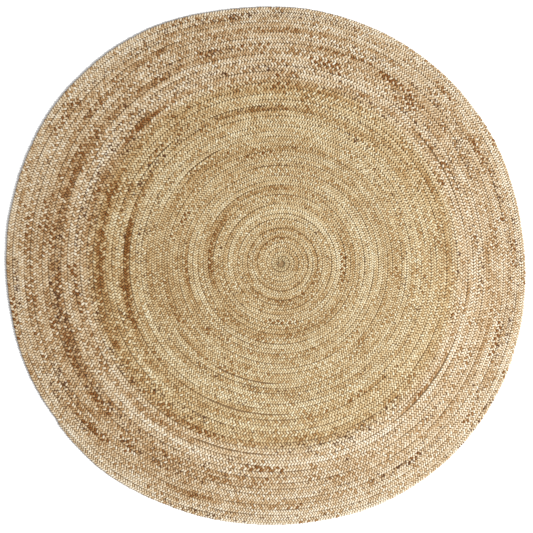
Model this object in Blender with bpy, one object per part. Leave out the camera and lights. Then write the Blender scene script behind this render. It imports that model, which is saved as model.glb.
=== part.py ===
"""Round braided jute rug: one flat braid, wound outward from an eye and sewn edge to edge into a mat.

Metres, +Z up. The rug lies flat on the plane z = 0, with the origin under the middle of its footprint.
Seen from above, the braid winds outward clockwise. Each turn is a rib in the top face, and the sewn line
between two turns is the groove beside it. The eye lies off the middle, and the turns change from round at
the eye to the rug's uneven outline at the rim.
"""

import math

import bmesh
import bpy
import numpy as np

# Driving sizes
TURNS = 51  # widths of braid from the eye to the rim
THICKNESS = 0.010  # floor to the crest of a turn
GROOVE_DEPTH = 0.003  # crest of a turn down to the sewn line beside it

# The rounded side of the last turn
RIM_BULGE = 0.0020  # the side's widest line, outside the last turn's upper edge
RIM_BULGE_HEIGHT = 0.0042  # that line above the floor
RIM_UNDERCUT = 0.0035  # how far the side draws in again before it meets the floor

# The coil
EYE_OFFSET = (0.056, 0.014)  # the eye, seen from the middle of the outline
EYE_LEVEL = 0.4  # radius of the eye, in widths of braid
END_ANGLE = math.radians(214.0)  # where the braid ends, counter-clockwise from +X
TAIL_ARC = math.radians(16.0)  # arc over which the braid's end is drawn in
TAIL_WIDTH = 0.2  # width that is left at the end, as a share of the full width
SEGMENTS_PER_TURN = 56
WELD_DISTANCE = 0.00001

# The braid's uneven width: narrow near the eye and widest about three quarters of the way out
WIDTH_SPREAD = 0.04  # narrower at the eye and wider at the rim, as shares of the mean width
SWELL = 0.16  # wider still in the middle of the swell
SWELL_AT = 0.73  # the swell's middle, as a share of all the turns
SWELL_REACH = 0.26  # how far it goes to either side

# The uneven outline, measured counter-clockwise from the middle of the rug to its widest line
RIM_FIRST = math.radians(8.0)  # angle of the first measure from +X; the others follow at even steps
RIM_RADII = (
    *(0.909, 0.918, 0.920, 0.916, 0.912, 0.932, 0.933, 0.918),
    *(0.909, 0.911, 0.913, 0.904, 0.910, 0.928, 0.930, 0.921),
)
OUTLINE_FADE = 2.5  # its unevenness fades toward the eye with this power of the way out

# Finish of the jute
JUTE_COLOUR = (0.53, 0.39, 0.23, 1.0)
JUTE_ROUGHNESS = 0.9
SHARP_EDGE = math.radians(50.0)  # edges that turn more than this are shaded sharp

GROOVE_HEIGHT = THICKNESS - GROOVE_DEPTH
FULL_TURN = 2.0 * math.pi
RIM_STEP = FULL_TURN / len(RIM_RADII)


def clear_scene():
    """Removes every object that the file opened with."""
    for old in list(bpy.data.objects):
        bpy.data.objects.remove(old, do_unlink=True)


def collection_named(name):
    """A new collection in the scene."""
    made = bpy.data.collections.new(name)
    bpy.context.scene.collection.children.link(made)
    return made


def jute_material():
    """Plain matt jute."""
    material = bpy.data.materials.new("jute")
    material.use_nodes = True
    shader = material.node_tree.nodes["Principled BSDF"]
    shader.inputs["Base Color"].default_value = JUTE_COLOUR
    shader.inputs["Roughness"].default_value = JUTE_ROUGHNESS
    shader.inputs["Metallic"].default_value = 0.0
    return material


def way_out(level):
    """The share of the way from the eye to the rim that a number of braid widths covers.

    It is the width added up over the turns so far, over its sum for all of them. The width is one, less a
    half wave from the eye to the rim, plus one round wave where the braid swells.
    """
    turned = level / TURNS
    spread = WIDTH_SPREAD * math.sin(math.pi * turned) / math.pi
    place = min(1.0, max(-1.0, (turned - SWELL_AT) / SWELL_REACH))
    swelled = SWELL * SWELL_REACH * (0.5 * (place + 1.0) + math.sin(math.pi * place) / FULL_TURN)
    return (turned - spread + swelled) / (1.0 + SWELL * SWELL_REACH)


def closed_outline():
    """The radius of the closed line that lies all the turns out from the eye, at each measured angle.

    It is the measured radius without the side's bulge, over the way out of the last turn's outer edge.
    """
    radii = []
    for number, radius in enumerate(RIM_RADII):
        arc_left = (RIM_FIRST + number * RIM_STEP - END_ANGLE) % FULL_TURN
        radii.append((radius - RIM_BULGE) / way_out(TURNS - arc_left / FULL_TURN))
    return radii


CLOSED_RADII = closed_outline()
UPPER_RADIUS = sum(CLOSED_RADII) / len(CLOSED_RADII)
BRAID_WIDTH = UPPER_RADIUS / TURNS


def outline_radius(angle):
    """The closed line's radius at any angle: a smooth curve through those at the measured angles.

    Between two of them it is a cubic, whose slope at each is that between its two neighbours.
    """
    place = (angle - RIM_FIRST) % FULL_TURN / RIM_STEP
    number = int(place)
    before, here, after, beyond = (
        CLOSED_RADII[(number + step) % len(CLOSED_RADII)] for step in (-1, 0, 1, 2)
    )
    part = place - number
    rise = after - here
    slope = (after - before) / 2.0
    next_slope = (beyond - here) / 2.0
    bend = 3.0 * rise - 2.0 * slope - next_slope + part * (slope + next_slope - 2.0 * rise)
    return here + part * (slope + part * bend)


def coil_point(level, angle):
    """The point at an angle, on the closed line that lies a number of braid widths out from the eye.

    The line's middle slides from the eye to the middle of the outline with the square of the share of the
    way out, and the outline's unevenness grows with a power of it.
    """
    share = way_out(level)
    uneven = (outline_radius(angle) - UPPER_RADIUS) * share**OUTLINE_FADE
    radius = share * (UPPER_RADIUS + uneven)
    slide = 1.0 - share**2
    return (
        EYE_OFFSET[0] * slide + radius * math.cos(angle),
        EYE_OFFSET[1] * slide + radius * math.sin(angle),
    )


def width_share(arc_left):
    """The braid's width as a share of its full width, given the arc that is left to its end."""
    return min(1.0, TAIL_WIDTH + (1.0 - TAIL_WIDTH) * arc_left / TAIL_ARC)


def add_coil(bm):
    """The ribbed top: a strip of two rows of quads, wound up so that its edges meet and are welded.

    A grid gives the strip. Its long axis becomes the way along the braid, and its three lines of points
    become the braid's inner edge, its crest and its outer edge.
    """
    arc = FULL_TURN / SEGMENTS_PER_TURN
    columns = round((TURNS - 1 - EYE_LEVEL) * SEGMENTS_PER_TURN)
    grid = bmesh.ops.create_grid(bm, x_segments=columns, y_segments=2, size=1.0)
    for vert in grid["verts"]:
        column = round((vert.co.x + 1.0) * 0.5 * columns)
        line = round(vert.co.y + 1.0)  # 0 inner edge, 1 crest, 2 outer edge
        arc_left = (columns - column) * arc
        level = TURNS - 1 - arc_left / FULL_TURN + 0.5 * line * width_share(arc_left)
        x, y = coil_point(level, END_ANGLE + arc_left)
        vert.co = (x, y, THICKNESS if line == 1 else GROOVE_HEIGHT)
    bmesh.ops.remove_doubles(bm, verts=bm.verts, dist=WELD_DISTANCE)


def open_loops(bm):
    """The open edges at the eye and at the rim."""
    open_edges = [edge for edge in bm.edges if edge.is_boundary]
    at_eye = [
        edge
        for edge in open_edges
        if math.dist(edge.verts[0].co.xy, EYE_OFFSET) < 2.0 * BRAID_WIDTH
    ]
    return at_eye, [edge for edge in open_edges if edge not in at_eye]


def close_eye(bm, loop):
    """A low button in the eye, where the braid's first loop closes on itself."""
    face = bmesh.ops.contextual_create(bm, geom=loop)["faces"]
    top = bmesh.ops.poke(bm, faces=face)["verts"]
    for vert in top:
        vert.co.z = THICKNESS


def move_loop(verts, outward, height):
    """Moves points outward from the origin by a distance, and to a height."""
    for vert in verts:
        reach = vert.co.xy.length
        vert.co.xy *= (reach + outward) / reach
        vert.co.z = height


def extrude_loop(bm, loop, outward, height):
    """One band of the side, below a loop of edges, and the loop at its lower end."""
    made = bmesh.ops.extrude_edge_only(bm, edges=loop)["geom"]
    verts = [item for item in made if isinstance(item, bmesh.types.BMVert)]
    move_loop(verts, outward, height)
    return [
        item
        for item in made
        if isinstance(item, bmesh.types.BMEdge) and item.is_boundary
    ]


def centre_footprint(bm):
    """Slides the rug so that the origin is under the middle of its footprint."""
    points = np.array([vert.co[:] for vert in bm.verts])
    middle = (points.min(axis=0) + points.max(axis=0)) / 2.0
    for vert in bm.verts:
        vert.co.x -= middle[0]
        vert.co.y -= middle[1]


def make_braided_coil():
    """The rug: ribbed top, rounded side, flat underside."""
    bm = bmesh.new()
    add_coil(bm)
    eye_loop, rim_loop = open_loops(bm)
    close_eye(bm, eye_loop)
    side_loop = extrude_loop(bm, rim_loop, RIM_BULGE, RIM_BULGE_HEIGHT)
    floor_loop = extrude_loop(bm, side_loop, -RIM_UNDERCUT, 0.0)
    bmesh.ops.contextual_create(bm, geom=floor_loop)
    centre_footprint(bm)
    bmesh.ops.triangulate(bm, faces=bm.faces)
    bmesh.ops.recalc_face_normals(bm, faces=bm.faces)
    mesh = bpy.data.meshes.new("braided_coil")
    bm.to_mesh(mesh)
    bm.free()
    mesh.shade_smooth()
    mesh.set_sharp_from_angle(angle=SHARP_EDGE)
    return bpy.data.objects.new("braided_coil", mesh)


def main():
    clear_scene()
    rug = collection_named("round_jute_rug")
    coil = make_braided_coil()
    coil.data.materials.append(jute_material())
    rug.objects.link(coil)


main()
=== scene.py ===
"""Looks of the round jute rug: the plies of its braid, the jute body that they lie on, and their finish.

Metres, +Z up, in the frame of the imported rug. Seen from above, the braid winds outward clockwise from an
eye that lies off the middle. Each turn is a flat braid of three plies.
"""

import math

import bpy
import numpy as np
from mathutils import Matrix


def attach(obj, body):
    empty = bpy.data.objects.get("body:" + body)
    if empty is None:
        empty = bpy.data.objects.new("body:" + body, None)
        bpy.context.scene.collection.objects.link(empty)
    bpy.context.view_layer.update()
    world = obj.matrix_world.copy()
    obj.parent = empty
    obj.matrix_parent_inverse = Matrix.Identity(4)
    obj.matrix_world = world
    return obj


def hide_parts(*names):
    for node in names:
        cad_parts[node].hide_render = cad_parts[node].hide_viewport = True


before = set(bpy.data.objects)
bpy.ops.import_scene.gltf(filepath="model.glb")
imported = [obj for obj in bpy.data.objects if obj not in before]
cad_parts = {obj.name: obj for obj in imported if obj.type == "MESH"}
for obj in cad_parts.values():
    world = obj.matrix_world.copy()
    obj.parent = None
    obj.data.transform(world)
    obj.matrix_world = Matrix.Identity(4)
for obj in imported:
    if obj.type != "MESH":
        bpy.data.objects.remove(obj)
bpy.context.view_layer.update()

NODE = "braided_coil"
BODY = "root"
FULL_TURN = 2.0 * math.pi

# ---------------------------------------------------------------- sizes

# The coil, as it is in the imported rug
TURNS = 51
THICKNESS = 0.010
RIM_BULGE = 0.0020
EYE_OFFSET = (0.056, 0.014)
END_ANGLE = math.radians(214.0)
TAIL_ARC = math.radians(16.0)
TAIL_WIDTH = 0.2
WIDTH_SPREAD = 0.04
SWELL = 0.16
SWELL_AT = 0.73
SWELL_REACH = 0.26
RIM_FIRST = math.radians(8.0)
RIM_RADII = np.array(
    (
        *(0.909, 0.918, 0.920, 0.916, 0.912, 0.932, 0.933, 0.918),
        *(0.909, 0.911, 0.913, 0.904, 0.910, 0.928, 0.930, 0.921),
    )
)
OUTLINE_FADE = 2.5
RIM_STEP = FULL_TURN / len(RIM_RADII)
FIRST_TURN = -0.15  # where the braid begins, in turns, inside the eye
LAST_TURN = TURNS - 1.0

# The braid, in shares of its width at each place
PLIES = 3
PERIOD = 1.56  # along the braid, from one place of a ply to the next like it: three lobes
# How far a ply's middle swings from the braid's middle: at the eye, and from SWAY_LEVEL on
SWAY = (0.348, 0.386)
SWAY_LEVEL = 24.0
PLY_WIDTH = 0.464
# and in metres
PLY_THICKNESS = 0.0052
RISE = 0.0032  # how far a ply's middle swings above and below mid-height
MID_HEIGHT = 0.0042
LOWEST = 0.0002  # no ply reaches lower than this above the floor
END_SHORT = 0.0001  # how far short of the braid's end a ply stops
END_TAPER = 0.008  # length over which each end of a ply is drawn in and tucked under
END_DROP = 0.0018
END_THINNING = 0.25  # share of its width that a ply loses at its end
EDGE_LIFT = math.radians(30.0)  # how late a ply goes down again after its lobe

# Chance changes of the plies: how much, the length of braid in metres that each takes, and its seed
LOBE_DRIFT = (0.0025, 0.045, 12)  # of a lobe along the braid, in metres
LONG_DRIFT = (0.00375, 0.30, 11)
HEAVE = (0.0003, 0.25, 31)  # of the whole braid up and down, in metres
LIFT = (0.00055, 0.016, 41)  # of each ply up and down, in metres
WANDER = (0.055, 0.10, 14)  # of the whole braid from its line, in widths of braid
# and in shares of what they change
SWAY_CHANGE = (0.08, 0.03, 21)
GAPE_CHANGE = (0.5, 0.03, 15)
WIDTH_CHANGE = (0.17, 0.020, 51)
THICKNESS_CHANGE = (0.10, 0.03, 61)
HELD = (0.3, 1.7)  # the shortest and longest stretch over which a held value stays, in spacings

# Places along one period at which a ply has a section: three on each upper lobe and one on each lower one
STATIONS = np.radians((15.0, 45.0, 75.0, 135.0, 195.0, 225.0, 255.0, 315.0))
# The section of a ply, as shares of half its width and half its thickness, clockwise seen along the braid
SECTION = np.array(
    (
        # across, up
        (1.0, -0.25),
        (0.5, 0.95),
        (-0.5, 0.95),
        (-1.0, -0.25),
    )
)
BANDS = 5  # runs of turns, each a piece of its own

# The braid's first end, curled up in the eye
EYE_SECTIONS = 25
EYE_START = math.radians(20.0)
EYE_TURNS = 1.9
EYE_RADIUS = 0.0112
EYE_HALF_WIDTH = 0.0044
EYE_LOW = 0.0050
EYE_HIGH = 0.0070
EYE_CORE = 0.0006  # radius that is left at the curl's inner end
EYE_THINNING = 0.6  # share by which the square of its width falls to that end
EYE_LENGTH = 0.06  # length of jute in the curl, for its streaks
EYE_TONE = 0.42
EYE_TONE_CHANGE = 0.10
EYE_TONE_RATE = 23.0  # radians of the wave in its tone, from one end to the other

# The jute's tone, from 0 for dark brown to 1 for pale cream, and how far each cause moves it
MIDDLE_TONE = 0.5
SPELLS = (
    # how far it moves a ply's tone, length of a spell in metres, seed
    (0.14, 0.450, 200),
    (0.15, 0.120, 210),
    (0.12, 0.030, 220),
    (0.07, 0.006, 230),
)
OUTER_EDGE_SPELLS = (0.08, 0.7, 131)
INNER_EDGE_SPELLS = (0.08, 0.7, 132)
LOBE_SPELLS = 0.15
LOBE_SEED = 81
LOBE_LEAD = 0.25  # how far before the braid's middle a lobe begins, in lobes
DARK_SLIVERS = -0.40
SLIVER_LENGTH = 0.08
SLIVER_SEED = 121
SLIVERS_OVER = (0.992, 0.974)  # chance values over this are slivers: at the eye, at the rim
UNEVEN = (0.97, 1.17)  # how much all of these count: at the eye, at the rim
PALER_TOWARD_PLUS_X = 0.12  # paler toward +X, over a metre
RING_BASE = 0.03  # paler everywhere
RING_SHARE = 0.9  # how much of the rings' amounts counts
ARC_SHARE = 0.62  # and of the arcs'
# Specks of dark root or bark
SPECK_SPELLS = (1.0, 0.35, 111)
SPECKS = (0.03, 0.27)  # share of the sections with one, in the roughest jute: at the eye, at the rim
SPECK_SEED = 101


# ---------------------------------------------------------------- the coil's lines


def way_out(level):
    """The share of the way from the eye to the rim that a number of braid widths covers.

    It is the width added up over the turns so far, over its sum for all of them. The width is one, less a
    half wave from the eye to the rim, plus one round wave where the braid swells.
    """
    turned = level / TURNS
    spread = WIDTH_SPREAD * np.sin(math.pi * turned) / math.pi
    place = np.clip((turned - SWELL_AT) / SWELL_REACH, -1.0, 1.0)
    swelled = SWELL * SWELL_REACH * (0.5 * (place + 1.0) + np.sin(math.pi * place) / FULL_TURN)
    return (turned - spread + swelled) / (1.0 + SWELL * SWELL_REACH)


def closed_outline():
    """The radius of the closed line that lies all the turns out from the eye, at each measured angle.

    It is the measured radius without the side's bulge, over the way out of the last turn's outer edge.
    """
    arc_left = (RIM_FIRST + np.arange(len(RIM_RADII)) * RIM_STEP - END_ANGLE) % FULL_TURN
    return (RIM_RADII - RIM_BULGE) / way_out(TURNS - arc_left / FULL_TURN)


CLOSED_RADII = closed_outline()
UPPER_RADIUS = CLOSED_RADII.mean()


def outline_radius(angle):
    """The closed line's radius at any angle: a smooth curve through those at the measured angles.

    Between two of them it is a cubic, whose slope at each is that between its two neighbours.
    """
    place = (angle - RIM_FIRST) % FULL_TURN / RIM_STEP
    number = place.astype(int)
    before, here, after, beyond = (
        CLOSED_RADII[(number + step) % len(CLOSED_RADII)] for step in (-1, 0, 1, 2)
    )
    part = place - number
    rise = after - here
    slope = (after - before) / 2.0
    next_slope = (beyond - here) / 2.0
    bend = 3.0 * rise - 2.0 * slope - next_slope + part * (slope + next_slope - 2.0 * rise)
    return here + part * (slope + part * bend)


def coil_point(level, angle):
    """Points of the coil, as x and y.

    level is the distance from the eye in widths of braid. The line of one level is a circle whose middle
    slides from the eye to the middle of the outline with the square of the way out, with the outline's
    unevenness on it, which grows with a power of the way out.
    """
    share = way_out(level)
    uneven = (outline_radius(angle) - UPPER_RADIUS) * share**OUTLINE_FADE
    radius = share * (UPPER_RADIUS + uneven)
    slide = 1.0 - share**2
    x = EYE_OFFSET[0] * slide + radius * np.cos(angle)
    y = EYE_OFFSET[1] * slide + radius * np.sin(angle)
    return np.stack([x, y], axis=-1)


def width_share(turn):
    """The braid's width at a turn, as a share of its full width: it falls evenly along the tail."""
    arc_left = (LAST_TURN - turn) * FULL_TURN
    return np.clip(TAIL_WIDTH + (1.0 - TAIL_WIDTH) * arc_left / TAIL_ARC, TAIL_WIDTH, 1.0)


def angle_of(turn):
    """The angle at a turn: that of the braid's end, and one whole turn more for each turn still to go."""
    return END_ANGLE + (LAST_TURN - turn) * FULL_TURN


def braid_point(turn, across):
    """Points of the braid: across is -1 at its inner edge, 0 in its middle and 1 at its outer edge.

    The level is the turn, plus that share of the width at which the point lies.
    """
    level = turn + 0.5 * width_share(turn) * (1.0 + across)
    return coil_point(np.maximum(level, 0.0), angle_of(turn))


def footprint_middle(places=721):
    """The middle of the rug's box, before it is slid onto the origin: midway between the rim's far ends."""
    turn = np.linspace(LAST_TURN - 1.0, LAST_TURN, places)
    rim = braid_point(turn, np.ones_like(turn))
    rim *= 1.0 + RIM_BULGE / np.linalg.norm(rim, axis=1, keepdims=True)
    return (rim.min(axis=0) + rim.max(axis=0)) / 2.0


MIDDLE = footprint_middle()


def length_table(per_turn=360):
    """Turns along the braid's middle, and the length of braid up to each in metres and in lobes.

    The braid is as much finer as it is narrower, so a lobe is a fixed share of the width at its place.
    """
    turn = np.linspace(FIRST_TURN, LAST_TURN, round((LAST_TURN - FIRST_TURN) * per_turn) + 1)
    line = braid_point(turn, np.zeros_like(turn))
    steps = np.linalg.norm(np.diff(line, axis=0), axis=1)
    lobes = steps * PLIES / (PERIOD * (width_at(turn[1:]) + width_at(turn[:-1])) / 2.0)
    return turn, np.concatenate([[0.0], np.cumsum(steps)]), np.concatenate([[0.0], np.cumsum(lobes)])


def width_at(turn):
    """The braid's width at a turn, on average round it: what one more turn adds to the mean radius."""
    return UPPER_RADIUS * (way_out(turn + 1.0) - way_out(turn))


TURN_AT, LENGTH_AT, LOBES_AT = length_table()
LENGTH = LENGTH_AT[-1]
LOBES = LOBES_AT[-1]


# ---------------------------------------------------------------- chance, always the same


def smooth_run(along, spacing, seed):
    """A smooth run of chance values from -1 to 1 along the braid, with a new value each spacing.

    Between two of them it eases: by the square of the way, times three less twice the way.
    """
    knots = np.random.default_rng(seed).uniform(-1.0, 1.0, int(along.max() / spacing) + 3)
    place = np.maximum(along / spacing, 0.0)
    step = place.astype(int)
    ease = place - step
    ease = ease * ease * (3.0 - 2.0 * ease)
    return knots[step] * (1.0 - ease) + knots[step + 1] * ease


def change(along, kind, ply=0):
    """A run of chance changes: how much it is, times a smooth run with its spacing and seed."""
    amount, spacing, seed = kind
    return amount * smooth_run(along, spacing, seed + ply)


def from_eye(along, ends):
    """A value that goes evenly with the length of braid, from one in the eye to one at the rim."""
    return ends[0] + (ends[1] - ends[0]) * along / LENGTH


def held_run(along, spacing, seed):
    """Chance values from 0 to 1 along the braid that hold for about one spacing and then change."""
    rng = np.random.default_rng(seed)
    stretches = int(along.max() / spacing * 1.3) + 8  # enough to reach the braid's end
    knots = np.cumsum(rng.uniform(*HELD, stretches) * spacing)
    values = rng.uniform(0.0, 1.0, len(knots) + 1)
    return values[np.searchsorted(knots, along)]


# ---------------------------------------------------------------- meshes


def mesh_object(name, points, quads, caps):
    """A smooth mesh object: points, four-cornered faces, and end caps of any number of corners."""
    corners = np.concatenate([quads.ravel(), *[np.asarray(cap) for cap in caps]]).astype(np.int32)
    counts = np.concatenate([np.full(len(quads), 4), [len(cap) for cap in caps]]).astype(np.int32)
    mesh = bpy.data.meshes.new(name)
    mesh.vertices.add(len(points))
    mesh.vertices.foreach_set("co", points.astype(np.float32).ravel())
    mesh.loops.add(len(corners))
    mesh.loops.foreach_set("vertex_index", corners)
    mesh.polygons.add(len(counts))
    starts = np.concatenate([[0], np.cumsum(counts)[:-1]]).astype(np.int32)
    mesh.polygons.foreach_set("loop_start", starts)
    mesh.polygons.foreach_set("use_smooth", np.ones(len(counts), dtype=bool))
    mesh.update(calc_edges=True)
    made = bpy.data.objects.new(name, mesh)
    bpy.context.scene.collection.objects.link(made)
    return made


def point_value(obj, name, values):
    """Gives a piece a value at each of its points, for its material to read."""
    layer = obj.data.attributes.new(name, "FLOAT", "POINT")
    layer.data.foreach_set("value", values.astype(np.float32).ravel())


# ---------------------------------------------------------------- the plies


def sway_at(turn):
    """How far a ply's middle swings to each side: the braid is pulled tight on the small turns."""
    return np.interp(turn, (0.0, SWAY_LEVEL), SWAY)


def ply_line(ply):
    """A ply's middle line: along the braid, turn, phase, points, and the ply's half width and thickness.

    The ply swings from side to side as a sine of the phase, and up and down as the root of a sine of twice
    the phase, so that it passes over its neighbours from the braid's middle out to its edge, and back under
    them. Small chance changes of swing, height and width keep it from looking turned on a machine.
    """
    periods = int(LOBES / PLIES) - 1
    phase = (np.arange(periods)[:, None] * FULL_TURN + STATIONS).ravel()
    lobe = (phase / FULL_TURN * PLIES) + ply
    along = np.interp(lobe, LOBES_AT, LENGTH_AT)
    along = along + change(along, LOBE_DRIFT) + change(along, LONG_DRIFT)
    along = np.maximum.accumulate(np.clip(along, 0.0, LENGTH - END_SHORT))
    turn = np.interp(along, LENGTH_AT, TURN_AT)
    sway = 2.0 * sway_at(turn) * (1.0 + change(along, SWAY_CHANGE, ply))
    inner, outer = (braid_point(turn, np.full_like(turn, side)) for side in (-1.0, 1.0))
    width = np.linalg.norm(outer - inner, axis=1)
    across = sway * np.sin(phase) + 2.0 * change(along, WANDER)
    row = turn + 0.5 * width_share(turn) * (1.0 + across) - turn % 1.0
    across += 2.0 * parting(row, angle_of(turn)) * (1.0 + change(along, GAPE_CHANGE))
    flat = braid_point(turn, across) - MIDDLE
    swing = np.sin(2.0 * phase - EDGE_LIFT * np.sin(phase) ** 2)
    up = MID_HEIGHT + change(along, HEAVE) + change(along, LIFT, ply)
    up += RISE * np.sign(swing) * np.sqrt(np.abs(swing))
    half_width = 0.5 * PLY_WIDTH * width * (1.0 + change(along, WIDTH_CHANGE, ply))
    drawn_in = 1.0 - np.clip(np.minimum(along - along[0], along[-1] - along) / END_TAPER, 0.0, 1.0)
    up -= END_DROP * drawn_in**2
    half_width *= 1.0 - END_THINNING * drawn_in
    half_thick = 0.5 * PLY_THICKNESS * (1.0 + change(along, THICKNESS_CHANGE, ply))
    return along, turn, phase, np.column_stack([flat, up]), half_width, half_thick


def ply_points(line, half_width, half_thick):
    """The sections of a ply: its middle line, plus each corner of the section across and up.

    Across is level and square to the line as seen from above.
    """
    ahead = np.gradient(line[:, :2], axis=0)
    ahead /= np.linalg.norm(ahead, axis=1, keepdims=True)
    side = np.stack([ahead[:, 1], -ahead[:, 0]], axis=1)
    corners = np.repeat(line[:, None, :], len(SECTION), axis=1)
    corners[:, :, :2] += side[:, None, :] * (half_width[:, None] * SECTION[:, 0])[:, :, None]
    corners[:, :, 2] = np.maximum(corners[:, :, 2] + half_thick[:, None] * SECTION[:, 1], LOWEST)
    return corners


def tube_faces(sections, first):
    """Quads between one section and the next, and the two end caps."""
    sides = len(SECTION)
    ring = np.arange(sections - 1)[:, None] * sides + first
    a = ring + np.arange(sides)
    b = ring + (np.arange(sides) + 1) % sides
    quads = np.stack([a, b, b + sides, a + sides], axis=-1).reshape(-1, 4)
    start = first + np.arange(sides)[::-1]
    end = first + (sections - 1) * sides + np.arange(sides)
    return quads, [start, end]


def make_bands():
    """The plies, in runs of turns of about the same length of braid."""
    lines = [ply_line(ply) for ply in range(PLIES)]
    made = []
    for band in range(BANDS):
        points, quads, caps, places, values, uvs = [], [], [], [], [], []
        count = 0
        for ply, (along, turn, phase, line, half_width, half_thick) in enumerate(lines):
            cut = [round(len(along) * edge / BANDS) for edge in (band, band + 1)]
            run = slice(max(cut[0] - 1, 0), cut[1])
            corners = ply_points(line, half_width, half_thick)[run]
            faces, ends = tube_faces(len(corners), count)
            points.append(corners.reshape(-1, 3))
            quads.append(faces)
            caps += ends
            level = turn[run] + width_share(turn[run]) * (0.5 + sway_at(turn[run]) * np.sin(phase[run]))
            row = level - turn[run] % 1.0
            tone = ply_tone(along[run], phase[run], ply) + dye(row, angle_of(turn[run]), along[run], ply)
            tone += PALER_TOWARD_PLUS_X * line[run, 0]
            places.append(np.repeat(level / TURNS, len(SECTION)))
            values.append(np.repeat([tone, ply_fleck(along[run], ply)], len(SECTION), axis=1))
            uvs.append((along[run], ply))
            count += len(corners) * len(SECTION)
        points = np.concatenate(points)
        piece = mesh_object(f"braid_band_{band + 1}", points, np.concatenate(quads), caps)
        tone, fleck = np.concatenate(values, axis=1)
        point_value(piece, "level", np.concatenate(places))
        point_value(piece, "tone", tone)
        point_value(piece, "fleck", fleck)
        add_ply_map(piece, uvs)
        add_flat_map(piece, [len(here) - 1 for here, _ply in uvs])
        made.append(piece)
    return made


def make_eye():
    """The first end of the braid, turned in on itself in the eye.

    It is one ply whose middle line is a spiral: the radius falls evenly to almost nothing while the line
    goes round counter-clockwise and rises with a quarter wave from under the first turn to the crest.
    """
    share = np.linspace(0.0, 1.0, EYE_SECTIONS)
    angle = EYE_START + EYE_TURNS * FULL_TURN * share
    radius = EYE_RADIUS * (1.0 - share) + EYE_CORE
    flat = np.stack([np.cos(angle), np.sin(angle)], axis=1) * radius[:, None]
    flat += coil_point(np.zeros(1), np.zeros(1)) - MIDDLE
    up = EYE_LOW + (EYE_HIGH - EYE_LOW) * np.sin(0.5 * math.pi * share)
    thin = np.sqrt(1.0 - EYE_THINNING * share)
    line = np.column_stack([flat, up])
    corners = ply_points(line, EYE_HALF_WIDTH * thin, np.full_like(share, 0.5 * PLY_THICKNESS))
    faces, ends = tube_faces(EYE_SECTIONS, 0)
    eye = mesh_object("braid_eye", corners.reshape(-1, 3), faces, ends)
    tone = EYE_TONE + EYE_TONE_CHANGE * np.sin(EYE_TONE_RATE * share)
    none = np.zeros(EYE_SECTIONS * len(SECTION))
    point_value(eye, "level", none)
    point_value(eye, "tone", np.repeat(tone, len(SECTION)))
    point_value(eye, "fleck", none)
    add_ply_map(eye, [(EYE_LENGTH * share, 0)])
    add_flat_map(eye, [EYE_SECTIONS - 1])
    return eye


def ply_tone(along, phase, ply):
    """How pale the jute of a ply is along the braid: long and short spells, and each lobe its own share.

    It is the middle tone, plus the sum of the lobe's own share, the dark slivers, the spells of the edge
    that the ply is at and the spells of the ply, times how uneven the jute is there.
    """
    lobe = np.floor(phase / math.pi + LOBE_LEAD).astype(int)
    own = np.random.default_rng(LOBE_SEED + ply).uniform(-1.0, 1.0, lobe.max() + 2)[lobe]
    dark = held_run(along, SLIVER_LENGTH, SLIVER_SEED + ply) > from_eye(along, SLIVERS_OVER)
    at_outer = np.sin(phase) > 0.0
    edge = np.where(at_outer, change(along, OUTER_EDGE_SPELLS), change(along, INNER_EDGE_SPELLS))
    spells = DARK_SLIVERS * dark + edge + sum(change(along, spell, ply) for spell in SPELLS)
    return MIDDLE_TONE + from_eye(along, UNEVEN) * (LOBE_SPELLS * own + spells)


# A row counts the whole turns of braid inside a place, each turn begun at the angle at which the braid
# ends, plus the share of its own turn's width, so the seams between turns lie at whole rows.

# Rings of darker and paler jute: row, half its height in rows, how much
RINGS = (
    (0.3, 1.2, -0.25),
    (5.0, 0.6, -0.35),
    (6.1, 0.5, 0.10),
    (7.2, 0.5, -0.15),
    (11.0, 1.3, 0.12),
    (14.6, 1.3, -0.14),
    (17.3, 1.6, 0.13),
    (28.3, 1.4, 0.12),
    (31.0, 1.2, -0.08),
    (35.2, 1.5, -0.12),
    (38.5, 1.0, 0.10),
    (42.0, 1.4, -0.14),
    (49.0, 2.0, 0.10),
)
# and rings by chance: how much, a new value each so many rows, seed
CHANCE_RINGS = (0.05, 1.4, 402)

# Arcs of dark or pale jute: row, half its height in rows, angles from and to, how much
ARCS = (
    (14.6, 0.6, 140, 200, -0.40),
    (14.2, 0.5, 215, 330, -0.25),
    (23.1, 0.4, 25, 75, 0.25),
    (25.8, 0.4, -45, 0, 0.25),
    (30.5, 0.5, 160, 195, -0.45),
    (31.2, 0.6, 186, 205, -0.45),
    (30.0, 0.4, 225, 238, -0.35),
    (30.7, 0.4, -60, -44, -0.35),
    (32.3, 0.4, 71, 81, -0.45),
    (34.9, 0.7, 150, 190, -0.40),
    (35.2, 0.9, 60, 105, -0.20),
    (36.8, 0.4, -10, 30, -0.25),
    (37.4, 0.4, 125, 142, -0.35),
    (37.7, 0.4, -50, -25, -0.40),
    (38.1, 0.4, 32, 44, -0.40),
    (38.2, 0.4, -16, -4, -0.35),
    (38.9, 0.6, 180, 196, -0.50),
    (40.0, 0.4, 280, 292, -0.30),
    (40.9, 0.5, 92, 106, -0.40),
    (40.9, 0.4, 118, 128, -0.35),
    (41.3, 0.4, 250, 262, -0.35),
    (41.6, 0.8, 192, 222, -0.25),
    (42.8, 0.4, 146, 160, -0.30),
    (43.0, 0.5, 61, 80, -0.40),
    (46.0, 0.5, 10, 33, -0.30),
    (48.0, 0.5, -32, -22, -0.30),
    (48.6, 0.4, 157, 168, -0.30),
    (50.4, 0.4, 214, 228, -0.30),
)
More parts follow.
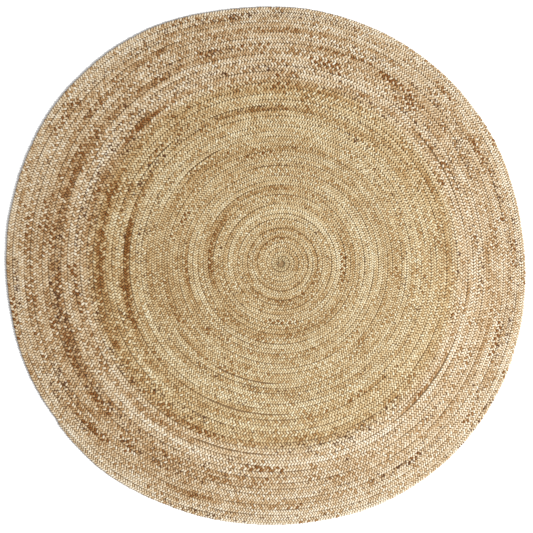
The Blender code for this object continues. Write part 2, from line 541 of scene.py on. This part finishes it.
# and arcs by chance: how many, seed, and the least and the most of each measure
CHANCE_ARCS = 36
CHANCE_ARC_SEED = 401
CHANCE_ARC_PLACE = (0.01, 1.0)  # share of the rug's area inside the arc's row
CHANCE_ARC_REACH = (0.3, 0.6)  # half its height in rows
CHANCE_ARC_LENGTH = (300.0, 900.0)  # degrees, over the row
CHANCE_ARC_AMOUNT = (-0.40, 0.25)
ARC_WHOLE = 0.35  # an arc is whole out to this share of half its height
ARC_GONE = 1.05  # and gone from this one on
ARC_SOFT_END = 6.0  # degrees over which each end fades
ARC_PLY_SHARE = 0.6  # how much more of it is in one ply
ARC_GRAIN = (0.7, 0.02, 301)  # how chance breaks it up along the braid

# Seams that gape: row at which two turns part, angles from and to, how far each draws back in widths
SEAMS = (
    (5, -15, 25, 0.10),
    (24, 238, 268, 0.15),
    (26, 118, 137, 0.15),
    (30, 240, 272, 0.14),
    (32, 132, 144, 0.14),
    (37, 245, 268, 0.12),
    (38, -50, -25, 0.14),
    (38, 15, 45, 0.14),
)
SEAM_SOFT_END = 8.0  # degrees over which a gap closes


def chance_arcs():
    """Arcs like those of ARCS, strewn evenly over the rug: few near the eye, where they would be short.

    The row is the last one times the root of a chance share of the rug's area.
    """
    rng = np.random.default_rng(CHANCE_ARC_SEED)
    row = LAST_TURN * np.sqrt(rng.uniform(*CHANCE_ARC_PLACE, CHANCE_ARCS))
    reach = rng.uniform(*CHANCE_ARC_REACH, CHANCE_ARCS)
    start = rng.uniform(0.0, 360.0, CHANCE_ARCS)
    length = rng.uniform(*CHANCE_ARC_LENGTH, CHANCE_ARCS) / row
    amount = rng.uniform(*CHANCE_ARC_AMOUNT, CHANCE_ARCS)
    return np.column_stack([row, reach, start, start + length, amount])


ALL_ARCS = [*ARCS, *chance_arcs()]


def window(angle, start, end, soft):
    """One between two angles in degrees, and nothing outside them.

    Over so many soft degrees at each end, it falls evenly with the distance from the middle.
    """
    from_middle = np.abs((np.degrees(angle) - (start + end) / 2.0 + 180.0) % 360.0 - 180.0)
    return np.clip(((end - start) / 2.0 - from_middle) / soft + 0.5, 0.0, 1.0)


def parting(row, angle):
    """How far the braid is drawn away from a gaping seam beside it, in widths of braid.

    It is the seam's own reach, times a window along it, and it falls evenly to nothing half a row away.
    """
    moved = np.zeros_like(row)
    for seam, start, end, reach in SEAMS:
        away = row - seam
        near = np.sign(away) * np.clip(1.0 - 2.0 * np.abs(away), 0.0, 1.0)
        moved += reach * window(angle, start, end, SEAM_SOFT_END) * near
    return moved


def dye(row, angle, along, ply):
    """How much paler or darker the jute is in a row and at an angle: the rings and the arcs.

    A ring falls evenly from its middle to nothing at half its height. An arc is whole near its middle row
    and then falls evenly. More of it is in one ply than in the others, and chance breaks it up.
    """
    grain = 1.0 + change(along, ARC_GRAIN, ply)
    arcs = np.zeros_like(row)
    for number, (middle, reach, start, end, amount) in enumerate(ALL_ARCS):
        share = 1.0 + ARC_PLY_SHARE * math.cos(FULL_TURN * (ply + number) / PLIES)
        fade = (ARC_GONE - np.abs(row - middle) / reach) / (ARC_GONE - ARC_WHOLE)
        arcs += share * amount * window(angle, start, end, ARC_SOFT_END) * np.clip(fade, 0.0, 1.0)
    rings = change(row, CHANCE_RINGS)
    for middle, reach, amount in RINGS:
        rings += amount * np.clip(1.0 - np.abs(row - middle) / reach, 0.0, 1.0)
    return RING_BASE + RING_SHARE * rings + ARC_SHARE * arcs * grain


def ply_fleck(along, ply):
    """Which sections of a ply have a speck of dark root or bark in them: many in spells of rough jute.

    A section has one where a chance value is under the share of specks there, times the spell's square.
    """
    rough = np.clip(change(along, SPECK_SPELLS), 0.0, 1.0) ** 2
    own = np.random.default_rng(SPECK_SEED + ply).uniform(0.0, 1.0, len(along))
    return own < from_eye(along, SPECKS) * rough


def add_ply_map(piece, runs):
    """A map that follows the plies: along each in metres, and round it in shares of its girth."""
    sides = len(SECTION)
    place, around = [], []
    for here, ply in runs:
        back, front = here[:-1, None], here[1:, None]
        shape = (len(here) - 1, sides)
        place.append(np.stack([np.broadcast_to(x, shape) for x in (back, back, front, front)], axis=-1))
        low = np.broadcast_to(np.arange(sides) / sides + ply, shape)
        high = low + 1.0 / sides
        around.append(np.stack([low, high, high, low], axis=-1))
    flat = np.stack([np.concatenate([x.reshape(-1) for x in part]) for part in (place, around)], axis=1)
    caps = np.zeros((len(piece.data.loops) - len(flat), 2))
    layer = piece.data.uv_layers.new(name="ply_map")
    layer.data.foreach_set("uv", np.concatenate([flat, caps]).astype(np.float32).ravel())


def add_flat_map(piece, steps):
    """A second map, without overlaps: the skins of the plies cut into strips that lie one above the other.

    steps is the number of bands of faces along each ply. A strip is as many bands long as the square is
    wide, and between two strips one row of the grid stays free. The end caps lie in the last row.
    """
    sides = len(SECTION)
    across = math.ceil(math.sqrt(sum(steps) * (sides + 1))) + 2 * sides
    columns, rows, strips = [], [], 0
    for count in steps:
        band = np.arange(count)
        columns.append(band % across)
        rows.append((band // across + strips) * (sides + 1))
        strips += -(-count // across)
    column = np.concatenate(columns)[:, None, None]
    row = np.concatenate(rows)[:, None, None] + np.arange(sides)[None, :, None]
    shape = (sum(steps), sides, 4)
    u = np.broadcast_to(column + np.array((0, 0, 1, 1)), shape).reshape(-1)
    v = np.broadcast_to(row + np.array((0, 1, 1, 0)), shape).reshape(-1)
    cap = np.arange(2 * len(steps))[:, None] * 2
    cap_u = (cap + np.array((0, 1, 1, 0))).reshape(-1)
    cap_v = np.broadcast_to(strips * (sides + 1) + np.array((0, 0, 1, 1)), (len(cap), 4)).reshape(-1)
    size = max(across, strips * (sides + 1) + 1)
    flat = np.stack([np.concatenate([u, cap_u]), np.concatenate([v, cap_v])], axis=1) / size
    layer = piece.data.uv_layers.new(name="OFBake")
    layer.data.foreach_set("uv", flat.astype(np.float32).ravel())


# ---------------------------------------------------------------- the body under the plies

BODY_SEGMENTS = 60
BODY_LOW = 0.0062  # the lower rings of its top
BODY_HIGH = 0.0066  # the higher ones, and its edge
BODY_FLOOR = 0.0028
BODY_INSET = 0.0050  # from the braid's outer edge to the body's


def make_body():
    """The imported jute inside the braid: a low ribbed disc, closed, which fills the gaps between the plies.

    Rings of points lie along lines of one level, half a width of braid apart, in turn low and high. The
    edge lies at a set distance inside the braid's outer edge.
    """
    angle = np.arange(BODY_SEGMENTS * 2) * FULL_TURN / (BODY_SEGMENTS * 2)
    levels = np.arange(1, 2 * TURNS - 2) * 0.5
    rows = []
    for level in levels:
        flat = coil_point(np.full_like(angle, level), angle) - MIDDLE
        height = BODY_LOW if level % 1.0 else BODY_HIGH
        rows.append(np.column_stack([flat, np.full_like(angle, height)]))
    # the spiral's last turn shifts the rim by a width of braid, so the body's edge follows it
    turn = LAST_TURN - ((angle - END_ANGLE) % FULL_TURN) / FULL_TURN
    outer = braid_point(turn, np.ones_like(turn))
    outer *= 1.0 - BODY_INSET / np.linalg.norm(outer, axis=1, keepdims=True)
    for height in (BODY_HIGH, BODY_FLOOR):
        rows.append(np.column_stack([outer - MIDDLE, np.full_like(angle, height)]))
    rows.append(np.column_stack([0.5 * (outer - MIDDLE), np.full_like(angle, BODY_FLOOR)]))
    sides = len(angle)
    points = np.concatenate(rows)
    ring = np.arange(len(rows) - 1)[:, None] * sides
    a = ring + np.arange(sides)
    b = ring + (np.arange(sides) + 1) % sides
    quads = np.stack([a, a + sides, b + sides, b], axis=-1).reshape(-1, 4)
    top = np.arange(sides)
    bottom = np.arange(sides)[::-1] + (len(rows) - 1) * sides
    body = mesh_object("jute_body", points, quads, [top, bottom])
    level = np.concatenate([levels, (TURNS, TURNS, TURNS)])
    point_value(body, "level", np.repeat(level / TURNS, sides))
    return body


# ---------------------------------------------------------------- finishes


# Jute of the inner and of the outer turns: its middle colour, and from dark to pale its brightness
INNER_JUTE = (0.47, 0.36, 0.20)
INNER_BRIGHTNESS = (0.20, 0.58, 1.0, 1.32, 1.60)
OUTER_JUTE = (0.50, 0.39, 0.25)
OUTER_BRIGHTNESS = (0.17, 0.54, 1.0, 1.32, 1.52)
OUTER_ZONE = (35.6 / TURNS, 37.6 / TURNS)  # where the one gives way to the other
JUTE_POWERS = (0.6, 1.0, 1.6)  # for red, green and blue
# Streaks along the fibres: how fast they change along a ply and round it, and how far they move the tone
STREAK_SCALE = (50.0, 36.0, 1.0)
STREAK_NOISE = (0.3, 0.7)
STREAK_TONE = (-0.20, 0.20)
# Greyer jute in the eye: its colour, where it fades out, and how much of it there is on either side
EYE_GREY = (0.37, 0.315, 0.19, 1.0)
EYE_ZONE = (0.8 / TURNS, 2.6 / TURNS)
EYE_GREY_SHARE = (0.6, 0.0)
SPECK = (0.085, 0.032, 0.010, 1.0)
# Painted shade deep in the braid: how much of each colour is left from deep in the braid up to its top
PAINTED_SHADE_HEIGHTS = (0.0068, 0.0092)
PAINTED_CREVICE_SHADE = ((0.0, (0.46, 0.33, 0.21)), (0.5, (0.86, 0.79, 0.70)), (1.0, (1.0, 1.0, 1.0)))
# and painted shade on a ply's flanks with a painted highlight on its top, round the ply in shares of its
# girth: from one flank over the top to the other
PAINTED_FLANK_SHADE_AND_HIGHLIGHT = (
    (0.00, (0.40, 0.28, 0.18)),
    (0.18, (0.93, 0.90, 0.86)),
    (0.375, (1.03, 1.035, 1.04)),
    (0.57, (0.93, 0.90, 0.86)),
    (0.75, (0.40, 0.28, 0.18)),
)
# Packed jute under the plies, and round the eye, darkened to a painted shade of the gaps between the plies
PAINTED_SHADE_INSIDE = ((0.30, (0.075, 0.040, 0.016)), (0.50, (0.17, 0.105, 0.050)), (0.72, (0.33, 0.23, 0.12)))
PAINTED_SHADE_EYE_INSIDE = ((0.30, (0.10, 0.053, 0.022)), (0.50, (0.21, 0.130, 0.060)), (0.72, (0.37, 0.26, 0.14)))
INSIDE_ZONE = (7.0 / TURNS, 14.0 / TURNS)


def new_material(name):
    """A new material, its tree of nodes and its shader."""
    material = bpy.data.materials.new(name)
    material.use_nodes = True
    return material, material.node_tree, material.node_tree.nodes["Principled BSDF"]


def node(tree, kind, **values):
    """A shader node with its properties set, and its inputs where the name is one of theirs."""
    made = tree.nodes.new(kind)
    for name, value in values.items():
        if name in made.inputs:
            made.inputs[name].default_value = value
        else:
            setattr(made, name, value)
    return made


def piece_value(tree, name):
    """The value of a name that each point of the piece was given."""
    return node(tree, "ShaderNodeAttribute", attribute_name=name).outputs["Fac"]


def stretched(tree, value, start, end, low=0.0, high=1.0):
    """A value stretched evenly, from low where it is at its start to high at its end, and held outside."""
    made = node(tree, "ShaderNodeMapRange")
    for name, number in (("From Min", start), ("From Max", end), ("To Min", low), ("To Max", high)):
        made.inputs[name].default_value = number
    tree.links.new(value, made.inputs["Value"])
    return made.outputs["Result"]


def ramp(tree, value, stops):
    """The colour at a value on a ramp with the given stops: place and colour."""
    made = tree.nodes.new("ShaderNodeValToRGB")
    elements = made.color_ramp.elements
    while len(elements) < len(stops):
        elements.new(1.0)
    for element, (place, colour) in zip(elements, stops):
        element.position = place
        element.color = (*colour, 1.0)
    tree.links.new(value, made.inputs["Fac"])
    return made.outputs["Color"]


def jute_ramp(tree, value, middle, brightness):
    """Jute from dark to pale, at even places along a value.

    Each channel of a colour is the middle colour's, times its own power of the brightness. Blue changes
    fastest and red slowest, so dark jute is browner and pale jute is greyer.
    """
    places = np.linspace(0.0, 1.0, len(brightness))
    colours = [
        tuple(x * bright**power for x, power in zip(middle, JUTE_POWERS)) for bright in brightness
    ]
    return ramp(tree, value, list(zip(places, colours)))


def mixed(tree, share, first, second):
    """The first colour, with a share of the second in it."""
    made = node(tree, "ShaderNodeMix", data_type="RGBA", blend_type="MIX")
    tree.links.new(share, made.inputs["Factor"])
    tree.links.new(first, made.inputs["A"])
    if isinstance(second, tuple):
        made.inputs["B"].default_value = second
    else:
        tree.links.new(second, made.inputs["B"])
    return made.outputs["Result"]


def multiplied(tree, first, second):
    """Two colours multiplied, channel by channel."""
    made = node(tree, "ShaderNodeMix", data_type="RGBA", blend_type="MULTIPLY")
    made.inputs["Factor"].default_value = 1.0
    tree.links.new(first, made.inputs["A"])
    tree.links.new(second, made.inputs["B"])
    return made.outputs["Result"]


def part_of(tree, vector, axis):
    """One of a vector's three parts."""
    parts = node(tree, "ShaderNodeSeparateXYZ")
    tree.links.new(vector, parts.inputs["Vector"])
    return parts.outputs[axis]


def set_finish(tree, shader, colour, height, strength, distance):
    """Gives a shader its colour, and bumps after a pattern's height."""
    tree.links.new(colour, shader.inputs["Base Color"])
    bump = node(tree, "ShaderNodeBump", Strength=strength, Distance=distance)
    tree.links.new(height, bump.inputs["Height"])
    tree.links.new(bump.outputs["Normal"], shader.inputs["Normal"])


def jute_finish_and_painted_shade():
    """Jute plies: cream to brown by the sliver and streaked along the fibres, with painted shade that
    darkens them down in the braid and on their flanks, and a painted highlight on their tops.
    """
    material, tree, shader = new_material("jute_plies")
    level = piece_value(tree, "level")
    fibre_map = node(tree, "ShaderNodeUVMap", uv_map="ply_map").outputs["UV"]
    stretch = node(tree, "ShaderNodeMapping", Scale=STREAK_SCALE)
    tree.links.new(fibre_map, stretch.inputs["Vector"])
    fibres = node(tree, "ShaderNodeTexNoise", Scale=1.0, Detail=4.0, Roughness=0.65)
    tree.links.new(stretch.outputs["Vector"], fibres.inputs["Vector"])
    shade = node(tree, "ShaderNodeMath", operation="ADD")
    tree.links.new(piece_value(tree, "tone"), shade.inputs[0])
    tree.links.new(stretched(tree, fibres.outputs["Fac"], *STREAK_NOISE, *STREAK_TONE), shade.inputs[1])
    inner = jute_ramp(tree, shade.outputs["Value"], INNER_JUTE, INNER_BRIGHTNESS)
    outer = jute_ramp(tree, shade.outputs["Value"], OUTER_JUTE, OUTER_BRIGHTNESS)
    jute = mixed(tree, stretched(tree, level, *OUTER_ZONE), inner, outer)
    jute = mixed(tree, stretched(tree, level, *EYE_ZONE, *EYE_GREY_SHARE), jute, EYE_GREY)
    jute = mixed(tree, piece_value(tree, "fleck"), jute, SPECK)
    place = node(tree, "ShaderNodeTexCoord").outputs["Object"]
    # painted shade: the lower the surface lies in the braid, the darker its colour
    painted_shade_depth = stretched(tree, part_of(tree, place, "Z"), *PAINTED_SHADE_HEIGHTS)
    jute = multiplied(tree, jute, ramp(tree, painted_shade_depth, PAINTED_CREVICE_SHADE))
    # painted shade on each ply's flanks and a painted highlight on its top, by the place round its girth
    girth = node(tree, "ShaderNodeMath", operation="FRACT")
    tree.links.new(part_of(tree, fibre_map, "Y"), girth.inputs[0])
    jute = multiplied(tree, jute, ramp(tree, girth.outputs["Value"], PAINTED_FLANK_SHADE_AND_HIGHLIGHT))
    set_finish(tree, shader, jute, fibres.outputs["Fac"], strength=0.5, distance=0.0006)
    shader.inputs["Roughness"].default_value = 0.85
    shader.inputs["Specular IOR Level"].default_value = 0.2
    return material


def body_finish_and_painted_shade():
    """Packed jute fibre seen between the plies: dark brown as a painted shade of the gaps, mottled and
    rough, and paler round the eye.
    """
    material, tree, shader = new_material("jute_inside_painted_shade")
    place = node(tree, "ShaderNodeTexCoord").outputs["Object"]
    mottle = node(tree, "ShaderNodeTexNoise", Scale=420.0, Detail=5.0, Roughness=0.7)
    tree.links.new(place, mottle.inputs["Vector"])
    # painted shade: the jute seen in the gaps is coloured darker than the plies, to stand for the shade
    # there
    pale, brown = (ramp(tree, mottle.outputs["Fac"], stops) for stops in (PAINTED_SHADE_EYE_INSIDE, PAINTED_SHADE_INSIDE))
    outward = stretched(tree, piece_value(tree, "level"), *INSIDE_ZONE)
    inside = mixed(tree, outward, pale, brown)
    set_finish(tree, shader, inside, mottle.outputs["Fac"], strength=0.8, distance=0.0010)
    shader.inputs["Roughness"].default_value = 0.95
    shader.inputs["Specular IOR Level"].default_value = 0.1
    return material


# ---------------------------------------------------------------- the studio

PHOTO_SIZE = 533  # pixels on each side of the photograph's frame
METRES_PER_PIXEL = 0.0035
CAMERA_HEIGHT = 4.2
RUG_IN_PHOTO = (266.0, 266.0)  # middle of the rug's box, in pixels from the frame's upper left
SENSOR = 36.0  # millimetres
FLOOR_REACH = 20.0
FLOOR_DROP = 0.0005  # how far under the rug the floor lies
SURROUND_STRENGTH = 0.62
KEY_PLACE = (4.3, -1.57, 4.4)
KEY_SIZE = 1.8
KEY_POWER = 655.0


def make_camera():
    """A camera straight above, with the photograph's frame.

    Its lens is as long to its sensor as the camera is high over the rug's top to the frame's width there.
    """
    data = bpy.data.cameras.new("camera")
    data.sensor_width = SENSOR
    data.sensor_fit = "HORIZONTAL"
    data.lens = SENSOR * (CAMERA_HEIGHT - THICKNESS) / (PHOTO_SIZE * METRES_PER_PIXEL)
    camera = bpy.data.objects.new("camera", data)
    bpy.context.scene.collection.objects.link(camera)
    half = PHOTO_SIZE / 2.0
    camera.location = (
        (half - RUG_IN_PHOTO[0]) * METRES_PER_PIXEL,
        (RUG_IN_PHOTO[1] - half) * METRES_PER_PIXEL,
        CAMERA_HEIGHT,
    )
    bpy.context.scene.camera = camera


def add_light(name, place, size, power):
    """A soft square white light that points at the middle of the rug."""
    data = bpy.data.lights.new(name, "AREA")
    data.size = size
    data.energy = power
    light = bpy.data.objects.new(name, data)
    light.location = place
    bpy.context.scene.collection.objects.link(light)
    light.rotation_euler = (-light.location).to_track_quat("-Z", "Y").to_euler()


def make_studio():
    """A plain pale floor, one soft key light and an even pale surround."""
    floor_mesh = bpy.data.meshes.new("floor")
    corners = [(x * FLOOR_REACH, y * FLOOR_REACH, 0.0) for x, y in ((-1, -1), (1, -1), (1, 1), (-1, 1))]
    floor_mesh.from_pydata(corners, [], [(0, 1, 2, 3)])
    floor = bpy.data.objects.new("floor", floor_mesh)
    bpy.context.scene.collection.objects.link(floor)
    material, _tree, shader = new_material("floor_white")
    shader.inputs["Base Color"].default_value = (0.93, 0.93, 0.93, 1.0)
    shader.inputs["Roughness"].default_value = 0.9
    floor_mesh.materials.append(material)
    floor.location.z = -FLOOR_DROP
    world = bpy.data.worlds.new("surround")
    world.use_nodes = True
    background = world.node_tree.nodes["Background"]
    background.inputs["Color"].default_value = (1.0, 1.0, 1.0, 1.0)
    background.inputs["Strength"].default_value = SURROUND_STRENGTH
    bpy.context.scene.world = world
    add_light("key", KEY_PLACE, KEY_SIZE, KEY_POWER)
    bpy.context.scene.view_settings.view_transform = "Standard"


# ---------------------------------------------------------------- putting it together


def main():
    """Builds the camera, the studio and the pieces, puts each piece on the body and hides the part that they
    take the place of.
    """
    make_camera()
    make_studio()
    bands = [*make_bands(), make_eye()]
    plies = jute_finish_and_painted_shade()
    for band in bands:
        band.data.materials.append(plies)
    body = make_body()
    body.data.materials.append(body_finish_and_painted_shade())
    for piece in [body, *bands]:
        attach(piece, BODY)
        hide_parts(NODE)


main()
